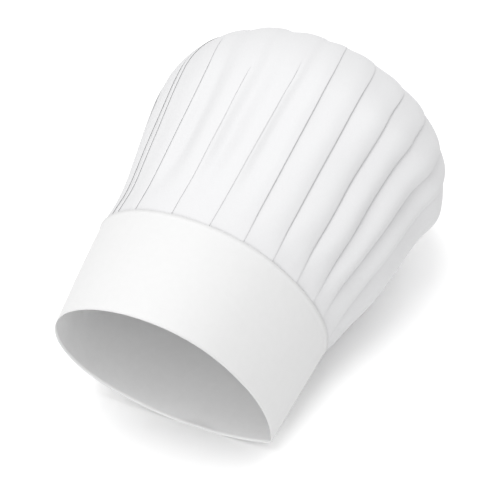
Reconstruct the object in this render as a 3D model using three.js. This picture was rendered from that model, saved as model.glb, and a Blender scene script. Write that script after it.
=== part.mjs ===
// Disposable chef hat: a plain headband and a tall pleated crown, lying on its back.
// Millimetres, +Z up. The floor is z = 0 and the head opening looks towards -Y.

import * as THREE from "three";

// Pose of the hat on the floor
const AXIS_RISE = 13;
const RIM_CENTRE_HEIGHT = 93.5;

// Walls and clearances
const BAND_WALL = 1.2;
const CROWN_WALL = 1.5;
const FLOOR_WALL = 1.2;
const SEAM_GAP = 0.3;

// Headband
const BAND_HEIGHT = 104;
const BAND_FACETS = 80;
const BAND_ROWS = 6;

// Sharp fold that runs down the right of the band: its angle in the section, and how far
// round it reaches and how roundly it fades on the front side and on the under side
const CREASE_ANGLE = -38;
const FRONT_FLANK = { spread: 80, fade: 2.2 };
const UNDER_FLANK = { spread: 86, fade: 1.9 };

// Crown
const TUCK_DEPTH = 20;
const NECK_INSET = 2.6;
const NECK_END = 138;
const SHOULDER_AT = 255;
const SHOULDER_LENGTH = 76;
const SHOULDER_REACH = 46;
const SHOULDER_ROWS = 9;
const TOP_AT = SHOULDER_AT + SHOULDER_LENGTH;
const TOP_DIP = 6;
const TOP_ROWS = [0.74, 0.5, 0.26];
const TOP_GATHER = 0.6;
const CENTRE_GATHER = 0.06;
const WALL_STATIONS = [116, 134, 156, 180, 206, 232, SHOULDER_AT];

// Pleats
const HIDDEN_PLEATS = 9;
const HIDDEN_PLEAT_DEPTH = 3;
const NECK_PLEAT_DEPTH = 0.9;
const OPENED_AT = 186;
const STRETCHED_AT = 225;
const SHOULDER_PLEAT_SHARE = 0.25;
const PRESSED_PLEAT_SHARE = 0.15;
const PRESSED_UNDER = { from: 0.8, to: 0.96 };

// Sections across the hat. at is the distance from the rim along the axis, half is the
// half width, over and under are the heights above and below the section's middle, aside
// and rise place that middle, fold is how far the sharp fold stands out as a share of the
// outline's reach, and skew is how far the section runs ahead for each millimetre to the
// right.
const BAND_SECTIONS = [
  { at: 0, half: 84.9, over: 85.4, under: 89.6, aside: -10.5, rise: 5.5, fold: 0.55, skew: 0.07 },
  { at: 52, half: 91.8, over: 88.3, under: 88, aside: -10.9, rise: -1.2, fold: 0.49, skew: 0.052 },
  { at: 104, half: 98.5, over: 90.9, under: 86.5, aside: -10.8, rise: -8, fold: 0.43, skew: 0.035 },
];
const CROWN_SECTIONS = [
  { at: 104, half: 98.5, over: 90.9, under: 86.5, aside: -10.8, rise: -8, fold: 0.43, skew: 0.035 },
  { at: 134, half: 105, over: 98, under: 103, aside: -2.5, rise: -11.8, fold: 0.29, skew: 0.02 },
  { at: 180, half: 118.5, over: 112.5, under: 121, aside: 3, rise: -15.3, fold: 0.19, skew: 0 },
  { at: 232, half: 130.8, over: 125, under: 136, aside: 6.5, rise: -18.5, fold: 0.07, skew: 0 },
  { at: 262, half: 137.6, over: 129.5, under: 138.5, aside: 10.4, rise: -22.5, fold: 0.035, skew: 0 },
  { at: 325, half: 135, over: 133, under: 138.5, aside: 7, rise: -34.5, fold: 0.03, skew: 0 },
];

// Pleats from left to right. neck to crest are the angles of the folded edge at the
// FOLD_STATIONS, and depth is how far the fold stands out of the crown's wall.
const FOLD_STATIONS = { neck: BAND_HEIGHT, low: 134, middle: 180, high: 232, widest: 262, crest: 310 };
const FRONT_PLEATS = [
  { neck: 143, low: 147.4, middle: 143.6, high: 140.6, widest: 141.2, crest: 143, depth: 2.2 },
  { neck: 136.8, low: 140.2, middle: 138, high: 136.4, widest: 137.6, crest: 139.5, depth: 2.2 },
  { neck: 122.4, low: 125.4, middle: 123.1, high: 121, widest: 122.6, crest: 129, depth: 2.4 },
  { neck: 99.9, low: 103, middle: 102.6, high: 101.8, widest: 103.1, crest: 107.5, depth: 2.3 },
  { neck: 79.6, low: 83.4, middle: 84.4, high: 84.5, widest: 85.9, crest: 87.3, depth: 2.5 },
  { neck: 61.1, low: 66.8, middle: 70, high: 71.8, widest: 74.1, crest: 74, depth: 3.2 },
  { neck: 42.9, low: 50.5, middle: 55.7, high: 58.7, widest: 61.4, crest: 59.6, depth: 4 },
  { neck: 23.6, low: 33.6, middle: 40.9, high: 44.9, widest: 48.1, crest: 44.6, depth: 4.4 },
  { neck: 6.2, low: 17.3, middle: 26.6, high: 31.7, widest: 34.4, crest: 31, depth: 4.6 },
  { neck: -7.3, low: 2.9, middle: 11.8, high: 16, widest: 18.4, crest: 16, depth: 4.6 },
  { neck: -27.1, low: -14.9, middle: -3.2, high: 2, widest: 5.6, crest: 6.4, depth: 4.2 },
];

// Shape of one pleat. along runs from one folded edge to the next, and height is the share
// of the fold's depth.
const PLEAT_SHAPE = [
  { along: 0.1, height: 0 },
  { along: 0.33, height: 0.62 },
  { along: 0.66, height: 0.95 },
  { along: 1, height: 0.88 },
];

const { degToRad, clamp, lerp, smoothstep } = THREE.MathUtils;

const axis = new THREE.Vector3(0, Math.cos(degToRad(AXIS_RISE)), Math.sin(degToRad(AXIS_RISE)));
const upright = new THREE.Vector3(0, -axis.z, axis.y);
const rimCentre = new THREE.Vector3(0, 0, RIM_CENTRE_HEIGHT);

// Slope of a column at a row: none at a peak or an end that turns, so no value overshoots.
function slopeAt(rows, column, i) {
  const before = Math.max(i - 1, 0);
  const after = Math.min(i + 1, rows.length - 1);
  const rise = rows[after][column] - rows[before][column];
  const back = rows[i][column] - rows[before][column];
  const ahead = rows[after][column] - rows[i][column];
  const isEnd = before === i || after === i;
  return !isEnd && back * ahead <= 0 ? 0 : rise / (rows[after].at - rows[before].at);
}

// Smooth value of one column of a table between its rows.
function columnAt(rows, column, at) {
  const last = rows.length - 2;
  const found = rows.findIndex((row, i) => i <= last && at <= rows[i + 1].at);
  const i = found < 0 ? last : found;
  const span = rows[i + 1].at - rows[i].at;
  const t = clamp((at - rows[i].at) / span, 0, 1);
  const start = rows[i][column];
  const end = rows[i + 1][column];
  const startSlope = slopeAt(rows, column, i) * span;
  const endSlope = slopeAt(rows, column, i + 1) * span;
  const blend = t * t * (3 - 2 * t);
  return start + (end - start) * blend + startSlope * t * (1 - t) ** 2 - endSlope * t * t * (1 - t);
}

function sectionAt(rows, at) {
  const columns = ["half", "over", "under", "aside", "rise", "fold", "skew"];
  return Object.fromEntries(columns.map((column) => [column, columnAt(rows, column, at)]));
}

// Point of a section at an angle in degrees: a round outline that is drawn out to a sharp
// fold at the crease.
function outlinePoint(section, angle) {
  const turn = ((((angle - CREASE_ANGLE + 180) % 360) + 360) % 360) - 180;
  const flank = turn > 0 ? FRONT_FLANK : UNDER_FLANK;
  const nearness = Math.max(0, 1 - Math.abs(turn) / flank.spread);
  const reach = 1 + section.fold * nearness ** flank.fade;
  const across = reach * Math.cos(degToRad(angle));
  const above = reach * Math.sin(degToRad(angle));
  const height = above > 0 ? section.over : section.under;
  return new THREE.Vector2(section.aside + section.half * across, section.rise + height * above);
}

// Outward direction of a section at an angle.
function outlineNormal(section, angle) {
  const step = 1;
  const ahead = outlinePoint(section, angle + step);
  const along = ahead.sub(outlinePoint(section, angle - step)).normalize();
  return new THREE.Vector2(along.y, -along.x);
}

// Place in the hat's frame of a point of a section, with cloth kept above the floor.
function placePoint(section, at, flat, lowest) {
  const point = rimCentre.clone();
  point.addScaledVector(axis, at + section.skew * flat.x);
  point.addScaledVector(upright, flat.y);
  point.x += flat.x;
  point.z = Math.max(point.z, lowest);
  return point;
}

// Closed wall from an outer and an inner stack of rings that both start at the open end. A
// stack may end in a single point, which closes it there.
function wallGeometry(outer, inner) {
  const positions = [];
  const indices = [];
  const around = outer[0].length;
  const addRing = (ring) => {
    const first = positions.length / 3;
    ring.forEach((p) => positions.push(p.x, p.y, p.z));
    return Array.from({ length: around }, (_, j) => first + (ring.length === 1 ? 0 : j));
  };
  const joinRings = (a, b) => {
    for (let j = 0; j < around; j += 1) {
      const k = (j + 1) % around;
      if (a[j] !== a[k]) {
        indices.push(a[j], b[k], a[k]);
      }
      if (b[j] !== b[k]) {
        indices.push(a[j], b[j], b[k]);
      }
    }
  };
  const rings = [...inner.map(addRing).reverse(), ...outer.map(addRing)];
  rings.slice(1).forEach((ring, i) => joinRings(rings[i], ring));
  if (outer.at(-1).length > 1) {
    joinRings(rings.at(-1), rings[0]);
  }
  const geometry = new THREE.BufferGeometry();
  geometry.setAttribute("position", new THREE.Float32BufferAttribute(positions, 3));
  geometry.setIndex(indices);
  geometry.computeVertexNormals();
  return geometry;
}

// One ring of the band's wall, depth inside its outer face.
function bandRing(at, depth, lowest) {
  const section = sectionAt(BAND_SECTIONS, at);
  return Array.from({ length: BAND_FACETS }, (_, j) => {
    const angle = CREASE_ANGLE + (j * 360) / BAND_FACETS;
    const flat = outlinePoint(section, angle).addScaledVector(outlineNormal(section, angle), -depth);
    return placePoint(section, at, flat, lowest);
  });
}

function headbandGeometry() {
  const stations = Array.from({ length: BAND_ROWS + 1 }, (_, i) => (i * BAND_HEIGHT) / BAND_ROWS);
  const outer = stations.map((at) => bandRing(at, 0, 0));
  const inner = stations.map((at) => bandRing(at, BAND_WALL, FLOOR_WALL));
  return wallGeometry(outer, inner);
}

// All pleats: those of the front, then plain even ones round the hidden back.
function allPleats() {
  const first = FRONT_PLEATS[0];
  const last = FRONT_PLEATS.at(-1);
  const hidden = Array.from({ length: HIDDEN_PLEATS }, (_, i) => {
    const share = (i + 1) / (HIDDEN_PLEATS + 1);
    const names = Object.keys(FOLD_STATIONS);
    const angles = names.map((name) => [name, lerp(last[name], first[name] - 360, share)]);
    return { ...Object.fromEntries(angles), depth: HIDDEN_PLEAT_DEPTH };
  });
  return [...FRONT_PLEATS, ...hidden];
}

const pleats = allPleats();

// How much of a pleat's depth is there: little at the neck and where the cloth is pressed
// against the floor, all of it halfway up, and less again at the shoulder.
function pleatShare(at, angle) {
  const opened = smoothstep(at, BAND_HEIGHT - TUCK_DEPTH, OPENED_AT);
  const stretched = lerp(1, SHOULDER_PLEAT_SHARE, smoothstep(at, STRETCHED_AT, TOP_AT));
  const under = smoothstep(-Math.sin(degToRad(angle)), PRESSED_UNDER.from, PRESSED_UNDER.to);
  const onFloor = smoothstep(at, BAND_HEIGHT, CROWN_SECTIONS[2].at) * under;
  return opened * stretched * lerp(1, PRESSED_PLEAT_SHARE, onFloor);
}

// Angle of a folded edge at a distance from the rim.
function foldAngle(pleat, at) {
  const rows = Object.entries(FOLD_STATIONS).map(([name, station]) => ({ at: station, angle: pleat[name] }));
  return columnAt(rows, "angle", at);
}

// One ring of the crown. inset and drawIn bring the ring in, by millimetres and by a share
// of the way to its middle. lean turns the direction of the wall's thickness from sideways
// to up the axis, gather scales the pleats, and depth is measured inwards from the outer
// face.
function crownRing({ at, sectionAtStation, inset = 0, drawIn = 0, lean = 0, gather = 1 }, depth, lowest) {
  const section = sectionAtStation;
  const ring = [];
  pleats.forEach((pleat, i) => {
    const next = pleats[(i + 1) % pleats.length];
    const turn = i + 1 < pleats.length ? 0 : 360;
    const here = foldAngle(pleat, at);
    const there = foldAngle(next, at) - turn;
    PLEAT_SHAPE.forEach(({ along, height }) => {
      const angle = lerp(here, there, along);
      const middle = new THREE.Vector2(section.aside, section.rise);
      const normal = outlineNormal(section, angle);
      const size = lerp(NECK_PLEAT_DEPTH, next.depth, pleatShare(at, angle)) * gather;
      const out = size * (height - 0.5) - inset - depth;
      const flat = outlinePoint(section, angle).lerp(middle, drawIn);
      flat.addScaledVector(normal, out * Math.cos(lean));
      ring.push(placePoint(section, at + out * Math.sin(lean), flat, lowest));
    });
  });
  return ring.reverse();
}

function topSection() {
  return sectionAt(CROWN_SECTIONS, TOP_AT);
}

// Rows of the crown from the end tucked into the band to the middle of the top.
function crownRows() {
  const tuckAt = BAND_HEIGHT - TUCK_DEPTH;
  const clear = BAND_WALL + SEAM_GAP + NECK_PLEAT_DEPTH / 2;
  const rows = [
    { at: tuckAt, sectionAtStation: sectionAt(BAND_SECTIONS, tuckAt), inset: clear },
    { at: BAND_HEIGHT, sectionAtStation: sectionAt(BAND_SECTIONS, BAND_HEIGHT), inset: NECK_INSET },
  ];
  WALL_STATIONS.forEach((at) => rows.push({
    at,
    sectionAtStation: sectionAt(CROWN_SECTIONS, at),
    inset: NECK_INSET * (1 - smoothstep(at, BAND_HEIGHT, NECK_END)),
  }));
  for (let i = 1; i <= SHOULDER_ROWS; i += 1) {
    const turned = ((Math.PI / 2) * i) / SHOULDER_ROWS;
    const at = SHOULDER_AT + SHOULDER_LENGTH * Math.sin(turned);
    const section = sectionAt(CROWN_SECTIONS, at);
    rows.push({
      at,
      sectionAtStation: section,
      drawIn: (SHOULDER_REACH * (1 - Math.cos(turned))) / section.half,
      lean: Math.atan2(SHOULDER_REACH * Math.sin(turned), SHOULDER_LENGTH * Math.cos(turned)),
      gather: lerp(1, TOP_GATHER, i / SHOULDER_ROWS),
    });
  }
  const top = topSection();
  TOP_ROWS.forEach((spread) => rows.push({
    at: TOP_AT - TOP_DIP * (1 - spread),
    sectionAtStation: top,
    drawIn: 1 - spread * (1 - SHOULDER_REACH / top.half),
    lean: Math.PI / 2,
    gather: lerp(CENTRE_GATHER, TOP_GATHER, spread),
  }));
  return rows;
}

// Middle of the crown's top, depth below its outer face.
function topCentre(depth) {
  const top = topSection();
  const flat = new THREE.Vector2(top.aside, top.rise);
  return [placePoint(top, TOP_AT - TOP_DIP - depth, flat, 0)];
}

function crownGeometry() {
  const rows = crownRows();
  const outer = rows.map((row) => crownRing(row, 0, 0));
  const inner = rows.map((row) => crownRing(row, CROWN_WALL, FLOOR_WALL));
  return wallGeometry([...outer, topCentre(0)], [...inner, topCentre(CROWN_WALL)]);
}

const nonWoven = new THREE.MeshStandardMaterial({ color: 0xf6f6f7, roughness: 0.85, metalness: 0 });
const bandPaper = new THREE.MeshStandardMaterial({ color: 0xfafafa, roughness: 0.8, metalness: 0 });

function namedMesh(name, geometry, material) {
  const mesh = new THREE.Mesh(geometry, material);
  mesh.name = name;
  return mesh;
}

// Moves the hat so that the origin lies under the middle of its box, on the floor.
function centreOnFloor(group) {
  const box = new THREE.Box3().setFromObject(group);
  const middle = box.getCenter(new THREE.Vector3());
  group.children.forEach((mesh) => mesh.position.set(-middle.x, -middle.y, 0));
  return group;
}

const hat = new THREE.Group();
hat.add(namedMesh("headband", headbandGeometry(), bandPaper));
hat.add(namedMesh("crown", crownGeometry(), nonWoven));
centreOnFloor(hat);

export default hat;
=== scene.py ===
"""Disposable chef hat on its back: a plain paper headband and a tall crown of pleated non-woven cloth."""

import bisect
import logging
import math
from collections.abc import Callable
from dataclasses import dataclass, fields, replace
from enum import Enum

import bmesh
import bpy
from mathutils import Euler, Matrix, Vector, noise


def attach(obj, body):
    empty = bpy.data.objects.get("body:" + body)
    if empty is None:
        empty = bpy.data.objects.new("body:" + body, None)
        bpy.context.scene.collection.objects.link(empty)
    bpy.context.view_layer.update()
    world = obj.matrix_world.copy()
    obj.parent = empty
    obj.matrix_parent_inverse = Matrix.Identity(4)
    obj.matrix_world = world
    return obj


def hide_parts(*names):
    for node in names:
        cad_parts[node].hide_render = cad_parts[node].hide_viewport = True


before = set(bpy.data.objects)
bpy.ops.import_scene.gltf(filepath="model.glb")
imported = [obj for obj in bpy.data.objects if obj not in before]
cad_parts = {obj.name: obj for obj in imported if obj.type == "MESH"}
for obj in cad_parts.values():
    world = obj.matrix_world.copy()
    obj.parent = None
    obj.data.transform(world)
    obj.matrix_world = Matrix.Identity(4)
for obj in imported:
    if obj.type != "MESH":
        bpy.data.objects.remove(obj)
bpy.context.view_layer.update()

log = logging.getLogger("chef_hat")

MM = 0.001
CUT_MAP = "cut"

# In metres: points nearer than WELD are joined, and nearer than SAME_PLACE they count as one.
WELD = 0.00001
SAME_PLACE = 0.00005

# Distances from the rim along the hat, in millimetres.
BAND_HEIGHT = 104.0
BEYOND_TOP = 900.0


class Held(Enum):
    """How a sheet is held in its shape."""

    FOLDED = "folded"
    GATHERED = "gathered"


def smooth(value: float, start: float, end: float) -> float:
    """Eased share, from 0 to 1, of the way from start to end."""
    share = min(1.0, max(0.0, (value - start) / (end - start)))
    return share * share * (3 - 2 * share)


def mix(start: float, end: float, share: float) -> float:
    """Value at a share of the way from start to end."""
    return start + (end - start) * share


@dataclass(frozen=True)
class SmoothCurve:
    """Smooth values between stations, with no slope at a peak so that none overshoots."""

    stations: tuple[float, ...]
    values: tuple[float, ...]

    def slope(self, i: int) -> float:
        """Slope of the curve at a station.

        Args:
            i: index of the station.

        Returns:
            Change of the value for each unit along.
        """
        before, after = max(i - 1, 0), min(i + 1, len(self.stations) - 1)
        low, here, high = self.values[before], self.values[i], self.values[after]
        if before < i < after and (here - low) * (high - here) <= 0:
            return 0.0
        return (high - low) / (self.stations[after] - self.stations[before])

    def at(self, place: float) -> float:
        """Value of the curve.

        Args:
            place: distance along the stations.

        Returns:
            The value there, and the nearer end's outside them.
        """
        i = min(max(bisect.bisect_left(self.stations, place) - 1, 0), len(self.stations) - 2)
        span = self.stations[i + 1] - self.stations[i]
        t = min(1.0, max(0.0, (place - self.stations[i]) / span))
        bend = self.slope(i) * span * t * (1 - t) ** 2 - self.slope(i + 1) * span * t * t * (1 - t)
        return self.values[i] + (self.values[i + 1] - self.values[i]) * t * t * (3 - 2 * t) + bend


@dataclass(frozen=True)
class Section:
    """One section across the hat, in millimetres, square to its axis.

    at is the distance from the rim along the axis, half is the half width, over and under
    are the heights above and below the section's middle, aside and rise place that middle,
    fold is how far the sharp fold stands out as a share of the outline's reach, and skew is
    how far the section runs ahead for each millimetre to the right.
    """

    at: float
    half: float
    over: float
    under: float
    aside: float
    rise: float
    fold: float
    skew: float


class SectionTable:
    """Sections in order along the hat, with smooth values between them."""

    def __init__(self, *rows: Section) -> None:
        """Lays one smooth curve through each column of the rows.

        Args:
            rows: the sections, in order from the rim.
        """
        stations = tuple(row.at for row in rows)
        names = [field.name for field in fields(Section) if field.name != "at"]
        columns = {name: tuple(getattr(row, name) for row in rows) for name in names}
        self.curves = {name: SmoothCurve(stations, column) for name, column in columns.items()}

    def section(self, at: float) -> Section:
        """Section at a distance from the rim."""
        return Section(at=at, **{name: curve.at(at) for name, curve in self.curves.items()})


@dataclass(frozen=True)
class Crease:
    """The sharp fold down the right of the band, which fades out up the crown."""

    angle: float = -38.0
    front_spread: float = 80.0
    front_fade: float = 2.2
    under_spread: float = 86.0
    under_fade: float = 1.9

    def reach(self, fold: float, angle: float) -> float:
        """Share by which a section's outline is drawn out at an angle.

        Args:
            fold: how far the fold stands out, as a share of the outline's reach.
            angle: angle round the section in degrees, from the right over the top.

        Returns:
            1 away from the fold, and 1 + fold on it.
        """
        turn = (angle - self.angle + 180) % 360 - 180
        spread = self.front_spread if turn > 0 else self.under_spread
        fade = self.front_fade if turn > 0 else self.under_fade
        return 1 + fold * max(0.0, 1 - abs(turn) / spread) ** fade


@dataclass(frozen=True)
class LyingHat:
    """How the hat lies: the tilt of its axis, the height of its rim and its place on the floor."""

    axis_rise: float = 13.0
    rim_centre_height: float = 93.5
    shift_x: float = -10.74
    shift_y: float = -164.88
    crease: Crease = Crease()

    def outline(self, section: Section, angle: float) -> Vector:
        """Point of a section's outline.

        Args:
            section: the section.
            angle: angle round the section in degrees, from the right over the top.

        Returns:
            Place across and above in the section's own plane, in millimetres.
        """
        reach = self.crease.reach(section.fold, angle)
        across, above = reach * math.cos(math.radians(angle)), reach * math.sin(math.radians(angle))
        height = section.over if above > 0 else section.under
        return Vector((section.aside + section.half * across, section.rise + height * above))

    def outward(self, section: Section, angle: float) -> tuple[Vector, float]:
        """Outward direction of a section's outline and its length for each degree.

        Args:
            section: the section.
            angle: angle round the section in degrees.

        Returns:
            The unit direction in the section's plane, and millimetres for each degree.
        """
        along = self.outline(section, angle + 1) - self.outline(section, angle - 1)
        return Vector((along.y, -along.x)).normalized(), along.length / 2

    def place(self, section: Section, at: float, flat: Vector, lowest: float) -> Vector:
        """Place in the frame of a point of a section, kept above the floor.

        Args:
            section: the section, for its skew.
            at: distance from the rim along the axis, in millimetres.
            flat: place across and above in the section's plane, in millimetres.
            lowest: least height above the floor, in millimetres.

        Returns:
            The place in metres.
        """
        rise = math.radians(self.axis_rise)
        ahead = at + section.skew * flat.x
        y = ahead * math.cos(rise) - flat.y * math.sin(rise)
        z = self.rim_centre_height + ahead * math.sin(rise) + flat.y * math.cos(rise)
        return Vector((flat.x + self.shift_x, y + self.shift_y, max(z, lowest))) * MM


NECK = Section(at=BAND_HEIGHT, half=98.5, over=90.9, under=86.5, aside=-10.8, rise=-8, fold=0.43, skew=0.035)
BAND_SECTIONS = SectionTable(
    Section(at=0, half=84.9, over=85.4, under=89.6, aside=-10.5, rise=5.5, fold=0.55, skew=0.07),
    Section(at=52, half=91.8, over=88.3, under=88, aside=-10.9, rise=-1.2, fold=0.49, skew=0.052),
    NECK,
)
CROWN_SECTIONS = SectionTable(
    NECK,
    Section(at=134, half=105, over=98, under=103, aside=-2.5, rise=-11.8, fold=0.29, skew=0.02),
    Section(at=180, half=118.5, over=112.5, under=121, aside=3, rise=-15.3, fold=0.19, skew=0),
    Section(at=232, half=130.8, over=125, under=136, aside=6.5, rise=-18.5, fold=0.07, skew=0),
    Section(at=262, half=137.6, over=129.5, under=138.5, aside=10.4, rise=-22.5, fold=0.035, skew=0),
    Section(at=325, half=135, over=133, under=138.5, aside=7, rise=-34.5, fold=0.03, skew=0),
)


class NodeBoard:
    """A material's node tree with short calls for adding and joining its nodes."""

    COLUMN_WIDTH = 190
    FIELD_ROUGHNESS = 0.55
    TONE_FROM = 0.3
    TONE_TO = 0.7

    def __init__(self, name: str) -> None:
        """Starts an empty material.

        Args:
            name: the material's name.
        """
        self.material = bpy.data.materials.new(name)
        self.material.use_nodes = True
        self.tree = self.material.node_tree
        self.tree.nodes.clear()
        self.column = 0

    def add(self, kind: str, **settings: object) -> bpy.types.Node:
        """Adds a node.

        Args:
            kind: the node's type name.
            settings: values of its properties, or of its inputs where the name is an input's.

        Returns:
            The node.
        """
        node = self.tree.nodes.new(kind)
        node.location = (self.column * self.COLUMN_WIDTH, 0)
        self.column += 1
        for name, value in settings.items():
            socket = node.inputs.get(name.replace("_", " "))
            if socket is not None:
                socket.default_value = value
            else:
                setattr(node, name, value)
        return node

    def join(self, source: bpy.types.NodeSocket, target: bpy.types.NodeSocket) -> None:
        """Joins an output to an input."""
        self.tree.links.new(source, target)

    def noise_field(
        self,
        coordinates: bpy.types.NodeSocket,
        scale: float,
        detail: float,
    ) -> bpy.types.NodeSocket:
        """Cloudy pattern.

        Args:
            coordinates: where it is read.
            scale: patches in each metre.
            detail: octaves of finer pattern on top.

        Returns:
            The pattern's value, from 0 to 1.
        """
        field = self.add("ShaderNodeTexNoise", Scale=scale, Detail=detail, Roughness=self.FIELD_ROUGHNESS)
        self.join(coordinates, field.inputs["Vector"])
        return field.outputs["Fac"]

    def tone(
        self,
        value: bpy.types.NodeSocket,
        dark: float,
        light: float,
        tint: float = 0.0,
    ) -> bpy.types.NodeSocket:
        """Grey tone from a pattern's value.

        Args:
            value: the pattern, from 0 to 1.
            dark: brightness at its low end.
            light: brightness at its high end.
            tint: how much stronger blue is than red.

        Returns:
            The colour.
        """
        ramp = self.add("ShaderNodeValToRGB")
        ramp.color_ramp.elements[0].position = self.TONE_FROM
        ramp.color_ramp.elements[1].position = self.TONE_TO
        ramp.color_ramp.elements[0].color = (dark, dark, dark + tint, 1)
        ramp.color_ramp.elements[1].color = (light, light, light + tint, 1)
        self.join(value, ramp.inputs["Fac"])
        return ramp.outputs["Color"]

    def relief(
        self,
        height: bpy.types.NodeSocket,
        strength: float,
        distance: float,
        under: bpy.types.NodeSocket | None = None,
    ) -> bpy.types.NodeSocket:
        """Bump from a pattern's value.

        Args:
            height: the pattern, from 0 to 1.
            strength: share of the full relief.
            distance: height of the relief in metres.
            under: another relief that this one lies on.

        Returns:
            The normal.
        """
        bump = self.add("ShaderNodeBump", Strength=strength, Distance=distance)
        self.join(height, bump.inputs["Height"])
        if under is not None:
            self.join(under, bump.inputs["Normal"])
        return bump.outputs["Normal"]

    def finish(
        self,
        colour: bpy.types.NodeSocket | None = None,
        normal: bpy.types.NodeSocket | None = None,
        **settings: object,
    ) -> bpy.types.Material:
        """Ends the tree in one shader.

        Args:
            colour: the base colour, where a pattern gives it.
            normal: the normal, where the surface has relief.
            settings: constant values of the shader's own inputs.

        Returns:
            The material.
        """
        shader = self.add("ShaderNodeBsdfPrincipled", **settings)
        if colour is not None:
            self.join(colour, shader.inputs["Base Color"])
        if normal is not None:
            self.join(normal, shader.inputs["Normal"])
        output = self.add("ShaderNodeOutputMaterial")
        self.join(shader.outputs["BSDF"], output.inputs["Surface"])
        return self.material


@dataclass(frozen=True)
class Grain:
    """A cloudy pattern and its relief.

    scale is its patches in each metre, detail its octaves of finer pattern, strength the
    share of its full relief, and height that relief in metres.
    """

    scale: float
    detail: float
    strength: float = 0.0
    height: float = 0.0

    def field(self, board: NodeBoard, place: bpy.types.NodeSocket) -> bpy.types.NodeSocket:
        """The pattern's value at a place, from 0 to 1."""
        return board.noise_field(place, self.scale, self.detail)

    def relief(
        self,
        board: NodeBoard,
        field: bpy.types.NodeSocket,
        under: bpy.types.NodeSocket | None = None,
    ) -> bpy.types.NodeSocket:
        """The normal of the pattern's relief, laid on another relief if there is one."""
        return board.relief(field, self.strength, self.height, under)


@dataclass(frozen=True)
class PaperFinish:
    """Smooth white paper with faint fibre, cockle and mottle."""

    name: str = "white_paper"
    dark: float = 0.568
    light: float = 0.578
    roughness: float = 0.62
    shine: float = 0.3
    fibre: Grain = Grain(1400.0, 3, 0.6, 0.00003)
    cockle: Grain = Grain(45.0, 1, 0.5, 0.0005)
    mottle: Grain = Grain(160.0, 4)

    def material(self) -> bpy.types.Material:
        """Builds the paper's material.

        Returns:
            The material.
        """
        board = NodeBoard(self.name)
        place = board.add("ShaderNodeTexCoord").outputs["Object"]
        fibre = self.fibre.field(board, place)
        cockle = self.cockle.field(board, place)
        normal = self.cockle.relief(board, cockle)
        normal = self.fibre.relief(board, fibre, normal)
        colour = board.tone(self.mottle.field(board, place), self.dark, self.light)
        return board.finish(colour, normal, Roughness=self.roughness, Specular_IOR_Level=self.shine)


# The band's inner face: the same white paper painted brighter. This is painted light that stands in for
# light reaching the inside of the hat.
INNER_PAPER_PAINTED_LIGHT = PaperFinish(name="inner_paper_painted_light", dark=0.75, light=0.77, roughness=0.85)


@dataclass(frozen=True)
class NonWovenFinish:
    """White bonded-fibre cloth: a fine grid of pressed dots over random fibre."""

    dark: float = 0.545
    light: float = 0.56
    blue_tint: float = 0.006
    roughness: float = 0.8
    shine: float = 0.2
    dot_pitch: float = 0.0016
    dot_wander: float = 0.25
    dot_strength: float = 0.5
    dot_depth: float = 0.00005
    fibre: Grain = Grain(900.0, 4, 0.6, 0.00006)
    crumple: Grain = Grain(60.0, 2, 0.5, 0.0008)

    def dots(self, board: NodeBoard) -> bpy.types.NodeSocket:
        """Height of the cloth's face between its pressed dots.

        Args:
            board: the material's node board.

        Returns:
            The height, lowest in the dots.
        """
        sheet = board.add("ShaderNodeUVMap", uv_map=CUT_MAP)
        lattice = board.add("ShaderNodeTexVoronoi", Scale=1 / self.dot_pitch, Randomness=self.dot_wander)
        board.join(sheet.outputs["UV"], lattice.inputs["Vector"])
        return lattice.outputs["Distance"]

    def material(self) -> bpy.types.Material:
        """Builds the cloth's material.

        Returns:
            The material.
        """
        board = NodeBoard("white_non_woven")
        place = board.add("ShaderNodeTexCoord").outputs["Object"]
        fibre = self.fibre.field(board, place)
        crumple = self.crumple.field(board, place)
        normal = self.crumple.relief(board, crumple)
        normal = self.fibre.relief(board, fibre, normal)
        normal = board.relief(self.dots(board), self.dot_strength, self.dot_depth, normal)
        colour = board.tone(fibre, self.dark, self.light, self.blue_tint)
        return board.finish(colour, normal, Roughness=self.roughness, Specular_IOR_Level=self.shine)


@dataclass(frozen=True)
class FloorFinish:
    """Plain matt white studio floor."""

    brightness: float = 0.95
    roughness: float = 0.9
    shine: float = 0.0

    def material(self) -> bpy.types.Material:
        """Builds the floor's material.

        Returns:
            The material.
        """
        board = NodeBoard("studio_floor")
        colour = (self.brightness, self.brightness, self.brightness, 1)
        return board.finish(Base_Color=colour, Roughness=self.roughness, Specular_IOR_Level=self.shine)


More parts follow.
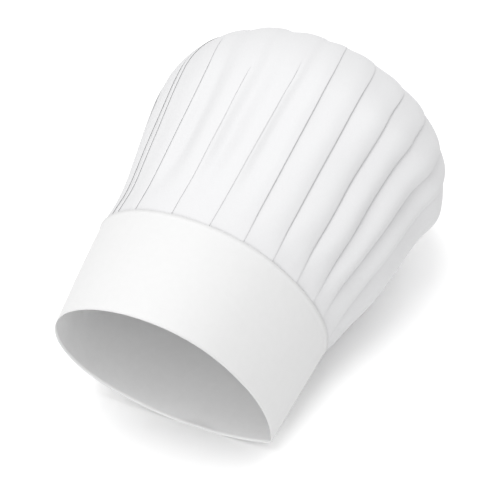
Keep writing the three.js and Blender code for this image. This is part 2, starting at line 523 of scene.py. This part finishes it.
@dataclass
class ClothSheet:
    """A flat sheet of cloth or paper, laid into shape point by point and welded where it closes.

    columns and rows are the steps across and along it. width, length and thickness are in
    metres.
    """

    name: str
    columns: int
    rows: int
    width: float
    length: float
    thickness: float

    def lay(self, shape: Callable[[int, int], Vector]) -> bmesh.types.BMesh:
        """Cuts the flat sheet and lays each of its points in place.

        Args:
            shape: takes a column and a row, and returns the point's place in metres.

        Returns:
            The laid sheet, with its cut kept as a map in metres.
        """
        sheet = bmesh.new()
        cut = sheet.loops.layers.uv.new(CUT_MAP)
        bmesh.ops.create_grid(sheet, x_segments=self.columns, y_segments=self.rows, size=0.5, calc_uvs=True)
        for face in sheet.faces:
            for loop in face.loops:
                loop[cut].uv = ((loop.vert.co.x + 0.5) * self.width, (loop.vert.co.y + 0.5) * self.length)
        for vert in sheet.verts:
            column = round((vert.co.x + 0.5) * self.columns)
            row = round((vert.co.y + 0.5) * self.rows)
            vert.co = shape(column, row)
        bmesh.ops.remove_doubles(sheet, verts=sheet.verts, dist=WELD)
        return sheet

    def turn_out(self, sheet: bmesh.types.BMesh, inside: Vector) -> None:
        """Turns the faces away from the sheet's hollow.

        Args:
            sheet: the laid sheet.
            inside: a point in the hollow, in metres.
        """
        bmesh.ops.recalc_face_normals(sheet, faces=sheet.faces)
        facing = sum((f.calc_center_median() - inside).dot(f.normal) * f.calc_area() for f in sheet.faces)
        if facing < 0:
            bmesh.ops.reverse_faces(sheet, faces=sheet.faces)

    def finish(self, sheet: bmesh.types.BMesh, *materials: bpy.types.Material) -> bpy.types.Object:
        """Makes the piece: an object with the sheet's wall thickness laid on inwards.

        Args:
            sheet: the laid sheet.
            materials: its finish, then the inner face's where that has its own.

        Returns:
            The piece.
        """
        mesh = bpy.data.meshes.new(self.name)
        sheet.to_mesh(mesh)
        sheet.free()
        mesh.shade_smooth()
        for material in materials:
            mesh.materials.append(material)
        piece = bpy.data.objects.new(self.name, mesh)
        bpy.context.scene.collection.objects.link(piece)
        wall = piece.modifiers.new("wall", "SOLIDIFY")
        wall.thickness = self.thickness
        wall.offset = -1
        wall.material_offset = len(materials) - 1
        wall.use_quality_normals = True
        return piece


@dataclass
class Headband:
    """The flat paper strip that is closed into a tube round the crown's lower end.

    Lengths are in millimetres, apart from cut, the strip's flat length and width in metres.
    buckle scales the waves of the paper, about buckle_scale in each metre, and they are moved
    inwards by buckle_inwards of it. They start flat_near_crease degrees from the crease and
    are whole at buckled_beyond degrees. flare is how far the upper edge stands out, over its
    last flare_height, and crease_round is how far the crease is rounded to each side.
    """

    lie: LyingHat
    cut: tuple[float, float] = (0.625, 0.104)
    height: float = BAND_HEIGHT
    wall: float = 0.4
    columns: int = 180
    rows: int = 32
    buckle: float = 0.2
    buckle_scale: float = 14.0
    buckle_inwards: float = 0.35
    flat_near_crease: float = 2.0
    buckled_beyond: float = 16.0
    flare: float = 0.8
    flare_height: float = 2.0
    crease_round: float = 0.7

    def point(self, column: int, row: int) -> Vector:
        """Place of a point of the strip.

        Args:
            column: step round the strip, from the crease.
            row: step along the axis, from the rim.

        Returns:
            The place in metres.
        """
        at = self.height * row / self.rows
        angle = self.lie.crease.angle - 360 * (column % self.columns) / self.columns
        section = BAND_SECTIONS.section(at)
        normal, _ = self.lie.outward(section, angle)
        flat = self.lie.outline(section, angle)
        spot = self.lie.place(section, at, flat, 0)
        from_crease = abs((angle - self.lie.crease.angle + 180) % 360 - 180)
        ease = smooth(from_crease, self.flat_near_crease, self.buckled_beyond)
        flared = self.flare * smooth(at, self.height - self.flare_height, self.height)
        wave = noise.noise(spot * self.buckle_scale) - self.buckle_inwards
        flat = flat + normal * (wave * self.buckle * ease + flared)
        return self.lie.place(section, at, flat, 0)

    def crease_edges(self, strip: bmesh.types.BMesh) -> list[bmesh.types.BMEdge]:
        """Finds the edges that run down the strip's sharp fold.

        Args:
            strip: the laid strip.

        Returns:
            The edges.
        """
        tops = [self.point(0, row) for row in range(self.rows + 1)]
        on_fold = {v for v in strip.verts if any((v.co - top).length < SAME_PLACE for top in tops)}
        return [e for e in strip.edges if e.verts[0] in on_fold and e.verts[1] in on_fold]

    def build(self, finish: PaperFinish, painted_light_lining: PaperFinish) -> bpy.types.Object:
        """Builds the strip and dresses it.

        Args:
            finish: the paper's finish.
            painted_light_lining: the finish of its inner face, the same paper made brighter, with painted
                light for the inside of the hat.

        Returns:
            The piece.
        """
        cloth = ClothSheet("paper_headband", self.columns, self.rows, *self.cut, self.wall * MM)
        strip = cloth.lay(self.point)
        middle = self.height / 2
        cloth.turn_out(strip, self.lie.place(BAND_SECTIONS.section(middle), middle, Vector((0, 0)), 0))
        bmesh.ops.bevel(
            strip,
            geom=self.crease_edges(strip),
            offset=self.crease_round * MM,
            offset_type="OFFSET",
            segments=3,
            profile=0.5,
            affect="EDGES",
            material=-1,
        )
        # The inner face gets the brighter copy of the paper: painted light inside the band.
        piece = cloth.finish(strip, finish.material(), painted_light_lining.material())
        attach(piece, "root")
        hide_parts("headband")
        return piece


FOLD_STATIONS = (BAND_HEIGHT, 134.0, 180.0, 232.0, 262.0, 310.0)


@dataclass(frozen=True)
class Pleat:
    """One folded edge of the crown and the panel to its right.

    lean holds the edge's angles in degrees at the FOLD_STATIONS. depth is the step down at
    the edge, swell is how far the cloth dips past it and bow is how far the panel to its
    right bulges, all in millimetres. From opens on, a distance from the rim, the crisp edge
    eases into a soft wave.
    """

    lean: tuple[float, ...]
    depth: float
    swell: float
    bow: float
    opens: float = BEYOND_TOP

    def line(self) -> SmoothCurve:
        """The edge's angle along the hat."""
        return SmoothCurve(FOLD_STATIONS, self.lean)


@dataclass(frozen=True)
class CrownRow:
    """One row across the crown's sheet, from its tucked end to the middle of its top.

    at is the distance from the rim, section is its outline, inset and draw bring it inwards
    by millimetres and by a share of the way to its middle, lean turns the pleats' depth from
    sideways to up the axis, gather scales that depth and spread is how much of the outline's
    length is left.
    """

    at: float
    section: Section
    inset: float = 0.0
    draw: float = 0.0
    lean: float = 0.0
    gather: float = 1.0
    spread: float = 1.0


FRONT_PLEATS = (
    Pleat(lean=(143, 147.4, 143.6, 140.6, 141.2, 143), depth=0.7, swell=0.5, bow=0.2),
    Pleat(lean=(136.8, 140.2, 138, 136.4, 137.6, 139.5), depth=0.7, swell=0.5, bow=0.2),
    Pleat(lean=(122.4, 125.4, 123.1, 121, 122.6, 129), depth=0.8, swell=6.8, bow=0.4, opens=272),
    Pleat(lean=(99.9, 103, 102.6, 101.8, 103.1, 107.5), depth=0.6, swell=6.4, bow=0.4, opens=228),
    Pleat(lean=(79.6, 83.4, 84.4, 84.5, 85.9, 87.3), depth=0.7, swell=3.6, bow=0.6, opens=246),
    Pleat(lean=(61.1, 66.8, 70, 71.8, 74.1, 74), depth=1.5, swell=0.8, bow=2.4),
    Pleat(lean=(42.9, 50.5, 55.7, 58.7, 61.4, 59.1), depth=1.9, swell=0.4, bow=3.2),
    Pleat(lean=(23.6, 33.6, 40.9, 44.9, 48.1, 43.2), depth=2.4, swell=0.6, bow=4.2),
    Pleat(lean=(6.2, 17.3, 26.6, 31.7, 34.2, 27.5), depth=3.2, swell=0.9, bow=4.9),
    Pleat(lean=(-7.3, 2.9, 11.8, 16, 17.8, 10), depth=4.2, swell=1.2, bow=5.6),
    Pleat(lean=(-27.1, -14.9, -3.2, 2, 4.6, 0), depth=4.6, swell=1.2, bow=5.4),
)
HIDDEN_PLEAT = Pleat(lean=(0.0,) * len(FOLD_STATIONS), depth=2.2, swell=0.4, bow=1.8)


@dataclass(frozen=True)
class PanelForm:
    """How a panel runs between two folded edges, in shares of its width from the left.

    It rises from the layer under its left edge to the right edge's outer layer between
    rises_from and risen_at. Its dip starts at dips_from, is deepest at deepest and ends at
    dips_to. arch is the power that sets where it bulges most, left of the middle below 1.
    """

    rises_from: float = 0.2
    risen_at: float = 0.9
    dips_from: float = -0.05
    deepest: float = 0.26
    dips_to: float = 0.8
    arch: float = 0.9

    def rise(self, share: float) -> float:
        """Share of the rise that is done."""
        return smooth(share, self.rises_from, self.risen_at)

    def bulge(self, share: float) -> float:
        """Share of the full bulge."""
        return math.sin(math.pi * share**self.arch)

    def dip(self, share: float) -> float:
        """Share of the full dip."""
        down = smooth(share, self.dips_from, self.deepest)
        return down * (1 - smooth(share, self.deepest, self.dips_to))


@dataclass(frozen=True)
class Crumple:
    """Slight crumple of the crown's cloth, strongest on the right of its wall.

    height is in millimetres. The pattern is read on a cylinder of the given radius, where
    length millimetres along the hat count as one, and scale makes it finer. It is whole from
    whole_at on, in millimetres from the rim. Its share away from the right is elsewhere, and
    it grows between right_from and right_at, both shares of facing straight right.
    """

    height: float = 1.9
    radius: float = 3.2
    length: float = 62.0
    scale: float = 1.4
    whole_at: float = 150.0
    elsewhere: float = 0.35
    right_from: float = 0.1
    right_at: float = 0.7

    def out(self, at: float, angle: float) -> float:
        """Distance by which the cloth stands out.

        Args:
            at: distance from the rim in millimetres.
            angle: the point's angle in degrees.

        Returns:
            Millimetres outwards.
        """
        turned = math.radians(angle)
        spot = Vector((self.radius * math.cos(turned), self.radius * math.sin(turned), at / self.length))
        where = smooth(at, BAND_HEIGHT, self.whole_at)
        where *= mix(self.elsewhere, 1, smooth(math.cos(turned), self.right_from, self.right_at))
        return noise.noise(spot * self.scale) * self.height * where


@dataclass
class Crown:
    """The tall crown: one sheet in knife pleats, gathered at the band and in the middle of its top.

    Lengths and distances from the rim are in millimetres, apart from cut, the sheet's flat
    length and width in metres. The lower end reaches down into the band by tuck, tuck_inset
    inside the band's outline. Above the band neck_inset fades out at neck_end. The shoulder
    starts at shoulder_at, is shoulder_length along the axis and reaches shoulder_reach
    inwards, and the middle of the top lies top_dip lower. The gathers are the shares of the
    pleats' depth left at the shoulder's end and near the middle of the top.

    Pleats are neck_depth deep at the band and deepen from opened_from to opened_at. From
    stretched_at to the top that falls to shoulder_depth of it. Edges that face down, by a
    share from under_from to under_at, are pressed to the share pressed by settled_at. Over
    easing before and after a pleat's opens, the share softened of its crispness goes. lap is
    how far the folded layers reach back, and wave is half the width of a softened edge.

    Panels bulge in full from bulged_at on. They start to dip at dips_from and dip in full
    from dipped_at on. From slack_until to taut_from both fall, to bulge_left and dip_left.
    sunk is the share of the bulge by which a panel's edges lie deeper. The layer on the floor
    is floor_gap above it, and between stacked_from and stacked_at the inner layers come to
    lie on it. least_spread is the smallest share of the outline's length that a row counts
    with, and inside_at is where a point of the hollow is taken.
    """

    lie: LyingHat
    form: PanelForm = PanelForm()
    crumple: Crumple = Crumple()
    cut: tuple[float, float] = (1.06, 0.37)
    band_height: float = BAND_HEIGHT
    tuck: float = 20.0
    tuck_inset: float = 1.15
    neck_inset: float = 0.15
    neck_end: float = 122.0
    shoulder_at: float = 255.0
    shoulder_length: float = 76.0
    shoulder_reach: float = 46.0
    top_dip: float = 6.0
    shoulder_gather: float = 0.6
    centre_gather: float = 0.06
    cloth: float = 0.25
    lap: float = 7.0
    wave: float = 3.0
    neck_depth: float = 0.62
    opened_from: float = 100.0
    opened_at: float = 154.0
    stretched_at: float = 225.0
    slack_until: float = 200.0
    taut_from: float = 305.0
    bulged_at: float = 138.0
    bulge_left: float = 0.22
    dips_from: float = 114.0
    dipped_at: float = 184.0
    dip_left: float = 0.38
    easing: float = 30.0
    softened: float = 0.96
    shoulder_depth: float = 0.25
    pressed: float = 0.2
    under_from: float = 0.8
    under_at: float = 0.96
    settled_at: float = 180.0
    stacked_from: float = 120.0
    stacked_at: float = 170.0
    floor_gap: float = 0.1
    sunk: float = 0.2
    least_spread: float = 0.02
    inside_at: float = 220.0
    hidden_pleats: int = 9
    panel_steps: int = 13
    tuck_rows: int = 6
    wall_rows: int = 42
    shoulder_rows: int = 22
    top_rows: int = 12

    FOLD_STEPS = 10

    def __post_init__(self) -> None:
        """Works out the pleats and the rows once."""
        self.pleats = self.all_pleats()
        self.edges = [pleat.line() for pleat in self.pleats]
        self.lines = self.all_rows()
        self.steps = self.FOLD_STEPS + self.panel_steps

    @property
    def top_at(self) -> float:
        """Distance from the rim to the crown's top."""
        return self.shoulder_at + self.shoulder_length

    def all_pleats(self) -> list[Pleat]:
        """Lists the pleats: those of the front, then plain even ones round the hidden back.

        Returns:
            The pleats in order round the crown.
        """
        first, last = FRONT_PLEATS[0], FRONT_PLEATS[-1]
        hidden = []
        for i in range(1, self.hidden_pleats + 1):
            share = i / (self.hidden_pleats + 1)
            lean = tuple(mix(low, high - 360, share) for low, high in zip(last.lean, first.lean))
            hidden.append(replace(HIDDEN_PLEAT, lean=lean))
        return [*FRONT_PLEATS, *hidden]

    def all_rows(self) -> list[CrownRow]:
        """Lists the rows of the sheet.

        Returns:
            The rows from the end tucked into the band to the middle of the top.
        """
        start = self.band_height - self.tuck
        rows = []
        for i in range(self.tuck_rows):
            at = mix(start, self.band_height, i / self.tuck_rows)
            rows.append(CrownRow(at, BAND_SECTIONS.section(at), inset=self.tuck_inset))
        for i in range(self.wall_rows + 1):
            at = mix(self.band_height, self.shoulder_at, i / self.wall_rows)
            inset = self.neck_inset * (1 - smooth(at, self.band_height, self.neck_end))
            rows.append(CrownRow(at, CROWN_SECTIONS.section(at), inset=inset))
        for i in range(1, self.shoulder_rows + 1):
            turned = math.pi / 2 * i / self.shoulder_rows
            at = self.shoulder_at + self.shoulder_length * math.sin(turned)
            section = CROWN_SECTIONS.section(at)
            draw = self.shoulder_reach * (1 - math.cos(turned)) / section.half
            inwards = self.shoulder_reach * math.sin(turned)
            lean = math.atan2(inwards, self.shoulder_length * math.cos(turned))
            gather = mix(1, self.shoulder_gather, i / self.shoulder_rows)
            rows.append(CrownRow(at, section, draw=draw, lean=lean, gather=gather, spread=1 - draw))
        top = CROWN_SECTIONS.section(self.top_at)
        rim = 1 - self.shoulder_reach / top.half
        for i in range(1, self.top_rows + 1):
            spread = 1 - i / self.top_rows
            at = self.top_at - self.top_dip * (1 - spread)
            gather = mix(self.centre_gather, self.shoulder_gather, spread) if i < self.top_rows else 0.0
            left = spread * rim
            rows.append(CrownRow(at, top, draw=1 - left, lean=math.pi / 2, gather=gather, spread=left))
        return rows

    def depth(self, pleat: Pleat, row: CrownRow, angle: float) -> float:
        """Depth of a pleat at a row: little at the neck and where the floor presses the cloth.

        Args:
            pleat: the pleat.
            row: the row of the sheet.
            angle: the folded edge's angle at that row.

        Returns:
            The depth in millimetres.
        """
        opened = smooth(row.at, self.opened_from, self.opened_at)
        under = smooth(-math.sin(math.radians(angle)), self.under_from, self.under_at)
        on_floor = smooth(row.at, self.band_height, self.settled_at) * under
        share = opened * mix(1, self.pressed, on_floor)
        share *= mix(1, self.shoulder_depth, smooth(row.at, self.stretched_at, self.top_at))
        return mix(self.neck_depth, pleat.depth, share) * row.gather

    def fold_point(self, step: int, depth: float, lap: float, crisp: float) -> tuple[float, float]:
        """Point of a folded edge's own small section.

        Args:
            step: step from the outer layer, round the edge and back out from under it.
            depth: depth of the fold in millimetres.
            lap: how far the layer under the edge reaches back, in millimetres.
            crisp: 1 for a pressed fold, 0 for a soft wave.

        Returns:
            Millimetres to the right of the edge, and above the wall's middle.
        """
        r = depth / 4
        slant, slant_top, slant_foot = 0.3 * r, depth * 0.427, depth * 0.073
        past_edge = lap * 0.12
        pressed = (
            (-r, depth / 2),
            (-slant, slant_top),
            (0, r),
            (-slant, slant_foot),
            (-r, 0),
            (-lap, 0),
            (-lap - r, -r),
            (-lap, -depth / 2),
            (-2 * r, -depth / 2),
            (past_edge, -depth / 2),
        )[step]
        share = step / (self.FOLD_STEPS - 1)
        wave = self.wave * lap / self.lap
        soft = (mix(-wave, wave, share), r * (1 - 2 * smooth(share, 0, 1)))
        return mix(soft[0], pressed[0], crisp), mix(soft[1], pressed[1], crisp)

    def crispness(self, pleat: Pleat, row: CrownRow) -> float:
        """How sharply a pleat's edge is folded at a row."""
        return 1 - self.softened * smooth(row.at, pleat.opens - self.easing, pleat.opens + self.easing)

    def degree_length(self, row: CrownRow, angle: float) -> float:
        """Millimetres along a row for each degree at an angle."""
        _, length = self.lie.outward(row.section, angle)
        return length * max(row.spread, self.least_spread)

    def section_point(self, row: CrownRow, column: int) -> tuple[float, float, float]:
        """Angle and height of a point of the sheet in its row.

        Args:
            row: the row of the sheet.
            column: step round the sheet, from the first folded edge.

        Returns:
            The angle in degrees, millimetres out from the wall's middle, and the most that
            the outer layer stands out there.
        """
        i, step = divmod(column % (self.steps * len(self.pleats)), self.steps)
        here, after = self.pleats[i], self.pleats[(i + 1) % len(self.pleats)]
        turn = 360 if i + 1 == len(self.pleats) else 0
        left, right = self.edges[i].at(row.at), self.edges[(i + 1) % len(self.pleats)].at(row.at) - turn
        lap = self.lap * row.spread
        depth = self.depth(here, row, left)
        free = smooth(row.at, self.band_height, self.bulged_at) * row.gather
        taut = smooth(row.at, self.slack_until, self.taut_from)
        length = self.degree_length(row, left)
        if step < self.FOLD_STEPS:
            along, out = self.fold_point(step, depth, lap, self.crispness(here, row))
            sunk = self.sunk * here.bow * free * mix(1, self.bulge_left, taut)
            return left - along / length, out - sunk, depth / 2
        next_depth = self.depth(after, row, right)
        next_length = self.degree_length(row, right)
        start, low = self.fold_point(self.FOLD_STEPS - 1, depth, lap, self.crispness(here, row))
        end, high = self.fold_point(0, next_depth, lap, self.crispness(after, row))
        share = (step - self.FOLD_STEPS + 1) / (self.panel_steps + 1)
        from_angle, to_angle = left - start / length, right - end / next_length
        bow = here.bow * self.form.bulge(share) - self.sunk * mix(here.bow, after.bow, share)
        bow *= mix(1, self.bulge_left, taut)
        dip = here.swell * smooth(row.at, self.dips_from, self.dipped_at)
        dip *= self.form.dip(share) * mix(1, self.dip_left, taut)
        out = mix(low, high, self.form.rise(share)) + (bow - dip) * free
        return mix(from_angle, to_angle, share), out, max(depth, next_depth) / 2

    def point(self, column: int, line: int) -> Vector:
        """Place of a point of the sheet.

        Args:
            column: step round the sheet, from the first folded edge.
            line: step along the sheet, from the tucked end.

        Returns:
            The place in metres.
        """
        row = self.lines[line]
        angle, out, outer = self.section_point(row, column)
        middle = Vector((row.section.aside, row.section.rise))
        normal, _ = self.lie.outward(row.section, angle)
        flat = self.lie.outline(row.section, angle).lerp(middle, row.draw)
        reach = out - row.inset + self.crumple.out(row.at, angle) * row.gather * row.spread
        flat += normal * reach * math.cos(row.lean)
        stacked = smooth(row.at, self.stacked_from, self.stacked_at)
        lowest = self.floor_gap + max(0.0, outer - out) * stacked
        return self.lie.place(row.section, row.at + reach * math.sin(row.lean), flat, lowest)

    def build(self, finish: NonWovenFinish) -> bpy.types.Object:
        """Builds the pleated sheet and dresses it.

        Args:
            finish: the cloth's finish.

        Returns:
            The piece.
        """
        columns = self.steps * len(self.pleats)
        cloth = ClothSheet("pleated_crown", columns, len(self.lines) - 1, *self.cut, self.cloth * MM)
        sheet = cloth.lay(self.point)
        section = CROWN_SECTIONS.section(self.inside_at)
        cloth.turn_out(sheet, self.lie.place(section, self.inside_at, Vector((0, 0)), 0))
        piece = cloth.finish(sheet, finish.material())
        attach(piece, "root")
        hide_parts("crown")
        return piece


@dataclass(frozen=True)
class SoftLamp:
    """A large soft lamp that looks at a point of the scene."""

    name: str
    place: tuple[float, float, float]
    looks_at: tuple[float, float, float]
    size: float
    power: float

    def hang(self) -> None:
        """Hangs the lamp in the scene."""
        lamp = bpy.data.lights.new(self.name, "AREA")
        lamp.shape = "DISK"
        lamp.size = self.size
        lamp.energy = self.power
        light = bpy.data.objects.new(self.name, lamp)
        light.location = self.place
        towards = Vector(self.looks_at) - Vector(self.place)
        light.rotation_euler = towards.to_track_quat("-Z", "Y").to_euler()
        bpy.context.scene.collection.objects.link(light)


@dataclass
class Studio:
    """Plain pale floor, the camera, and soft light from above, the front and weakly the back."""

    camera_place: tuple[float, float, float] = (0.457, -0.9879, 1.2691)
    azimuth: float = 25.5
    elevation: float = 47.0
    lens: float = 133.5
    sensor_width: float = 36.0
    floor_size: float = 12.0
    ambient: float = 1.0
    lamps: tuple[SoftLamp, ...] = (
        SoftLamp("key_lamp", (-0.32, -0.32, 2.3), (0.0, 0.0, 0.1), 1.3, 26.5),
        SoftLamp("fill_lamp", (-0.1, -2.0, 0.6), (0.0, 0.0, 0.1), 1.0, 10.0),
        SoftLamp("back_lamp", (0.7, 1.5, 1.9), (0.0, 0.0, 0.1), 1.2, 4.0),
    )

    def lay_floor(self) -> None:
        """Lays the floor under the hat."""
        sheet = bmesh.new()
        bmesh.ops.create_grid(sheet, x_segments=2, y_segments=2, size=self.floor_size / 2)
        mesh = bpy.data.meshes.new("studio_floor")
        sheet.to_mesh(mesh)
        sheet.free()
        mesh.materials.append(FloorFinish().material())
        floor = bpy.data.objects.new("studio_floor", mesh)
        bpy.context.scene.collection.objects.link(floor)

    def light(self) -> None:
        """Sets the even light of the room and hangs the lamps."""
        world = bpy.data.worlds.new("soft_room")
        world.use_nodes = True
        background = world.node_tree.nodes["Background"]
        background.inputs["Color"].default_value = (1, 1, 1, 1)
        background.inputs["Strength"].default_value = self.ambient
        bpy.context.scene.world = world
        for lamp in self.lamps:
            lamp.hang()

    def set_camera(self) -> None:
        """Sets the camera at the photograph's angle."""
        data = bpy.data.cameras.new("camera")
        data.lens = self.lens
        data.sensor_width = self.sensor_width
        camera = bpy.data.objects.new("camera", data)
        camera.location = self.camera_place
        camera.rotation_euler = Euler((math.radians(90 - self.elevation), 0, math.radians(self.azimuth)))
        bpy.context.scene.collection.objects.link(camera)
        bpy.context.scene.camera = camera
        bpy.context.scene.view_settings.view_transform = "Standard"


def main() -> None:
    """Builds the hat and its studio."""
    logging.basicConfig(level=logging.INFO, format="%(name)s: %(message)s")
    studio = Studio()
    studio.set_camera()
    lie = LyingHat()
    pieces = (
        # The band's inner face takes the brighter paper with painted light.
        Headband(lie).build(PaperFinish(), INNER_PAPER_PAINTED_LIGHT),
        Crown(lie).build(NonWovenFinish()),
    )
    for piece in pieces:
        log.info("%s: %d faces", piece.name, len(piece.data.polygons))
    studio.lay_floor()
    studio.light()


if __name__ == "__main__":
    main()
